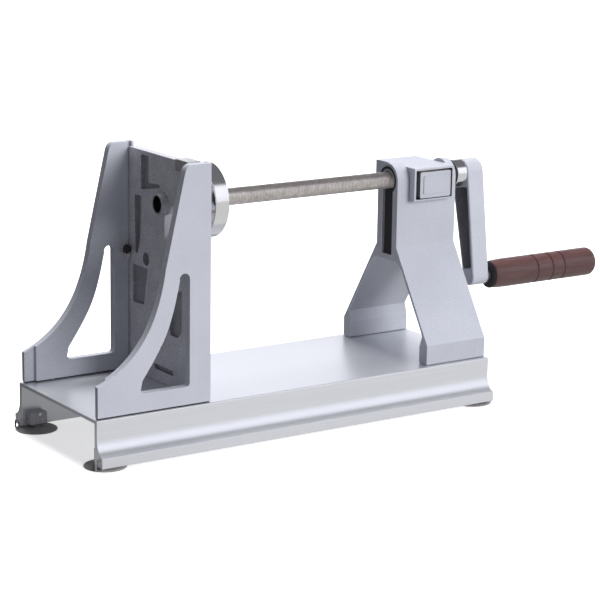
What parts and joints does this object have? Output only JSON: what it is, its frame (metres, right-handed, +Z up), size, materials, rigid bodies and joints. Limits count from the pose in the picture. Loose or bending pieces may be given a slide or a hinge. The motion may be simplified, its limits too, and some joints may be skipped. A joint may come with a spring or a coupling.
{
  "type": "hand-cranked spiral vegetable cutter",
  "caption": "Free-standing spiral vegetable cutter with a lift-out blade plate, a lead screw with a spiked disc, a crank with a turning grip, and suction feet.",
  "frame": {"origin": "centre of the footprint, at the level that the suction feet stand on", "axes": "+X along the lead screw towards the crank, +Y away from the release button, +Z up"},
  "size_m": [0.5656, 0.159, 0.243],
  "materials": {
    "satin_extrusion": "satin anodised, fine lines along the extrusion",
    "speckled_silver": "silver powder coat with a fine metallic speckle",
    "plate_casting": "die-cast, dull silver grey with a fine sand texture",
    "bracket_casting": "moulded dark grey",
    "blade_steel": "ground, bright at the cutting edges",
    "polished_steel": "turned and polished",
    "screw_steel": "rolled thread with a warm nickel tone",
    "nut_brass": "machined",
    "fastener_steel": "zinc plated",
    "black_plastic": "moulded, slight sheen",
    "grey_plastic": "moulded, light grey",
    "black_rubber": "matte",
    "grey_rubber": "soft grey rubber, slightly glossy",
    "brown_grip": "reddish brown, semi-gloss, turned rings"
  },
  "bodies": {
    "frame": {"base": "satin_extrusion", "tower": "speckled_silver", "slot_insert": "black_plastic", "release_housing": "speckled_silver", "release_spring": "fastener_steel", "spring_cap": "fastener_steel", "latch_pin": "black_plastic", "gusset_near": "speckled_silver", "gasket_near": "black_plastic", "guide_liner_near": "grey_plastic", "gusset_far": "speckled_silver", "gasket_far": "black_plastic", "guide_liner_far": "grey_plastic", "foot_front_near": "grey_rubber", "foot_bracket_front_near": "bracket_casting", "foot_screw_front_near": "fastener_steel", "foot_front_far": "grey_rubber", "foot_bracket_front_far": "bracket_casting", "foot_screw_front_far": "fastener_steel", "foot_back_near": "grey_rubber", "foot_bracket_back_near": "bracket_casting", "foot_screw_back_near": "fastener_steel", "foot_back_far": "grey_rubber", "foot_bracket_back_far": "bracket_casting", "foot_screw_back_far": "fastener_steel", "gusset_screw_1": "fastener_steel", "tower_screw_1": "fastener_steel", "gusset_screw_2": "fastener_steel", "tower_screw_2": "fastener_steel", "gusset_screw_3": "fastener_steel", "tower_screw_3": "fastener_steel", "gusset_screw_4": "fastener_steel", "tower_screw_4": "fastener_steel"},
    "blade_assembly": {"blade_plate": "plate_casting", "slicing_blade": "blade_steel", "comb_blade": "blade_steel", "corer_tube": "blade_steel", "blade_screw_1": "fastener_steel", "blade_screw_2": "fastener_steel", "pull_tab": "grey_plastic"},
    "screw_carrier": {"bumper_ring": "black_rubber"},
    "crank": {"lead_screw": "screw_steel", "holder_disc": "polished_steel", "disc_bolt": "fastener_steel", "spike_ring": "fastener_steel", "collar": "polished_steel", "crank_arm": "speckled_silver", "arm_cap": "fastener_steel", "grip_spindle": "fastener_steel"},
    "turning_grip": {"grip": "brown_grip", "grip_ferrule": "black_plastic"},
    "release": {"release_button": "speckled_silver", "half_nut": "nut_brass"},
    "plate_latch": {"latch_lever": "fastener_steel"}
  },
  "joints": [
    {"name": "plate_lift", "type": "slide", "parent": "frame", "child": "blade_assembly", "axis": [0, 0, 1], "range_m": [0, 0.17]},
    {"name": "screw_travel", "type": "slide", "parent": "frame", "child": "screw_carrier", "axis": [1, 0, 0], "range_m": [0, 0.18]},
    {"name": "crank_spin", "type": "hinge", "parent": "screw_carrier", "child": "crank", "pos_m": [0.13755, 0, 0.1988], "axis": [1, 0, 0], "range_deg": [0, 21600]},
    {"name": "grip_spin", "type": "hinge", "parent": "crank", "child": "turning_grip", "pos_m": [0.22325, -0.0174, 0.10398], "axis": [1, 0, 0], "continuous": true},
    {"name": "release_press", "type": "slide", "parent": "frame", "child": "release", "axis": [0, 1, 0], "range_m": [0, 0.004], "stiffness_N_per_m": 900, "springref_m": -0.003},
    {"name": "latch_turn", "type": "hinge", "parent": "frame", "child": "plate_latch", "pos_m": [-0.17875, 0.0587, 0.15], "axis": [0, 1, 0], "range_deg": [0, 60]}
  ],
  "couplings": [
    {"joint": "screw_travel", "follows": "crank_spin", "m_per_rad": 0.00047746}
  ]
}
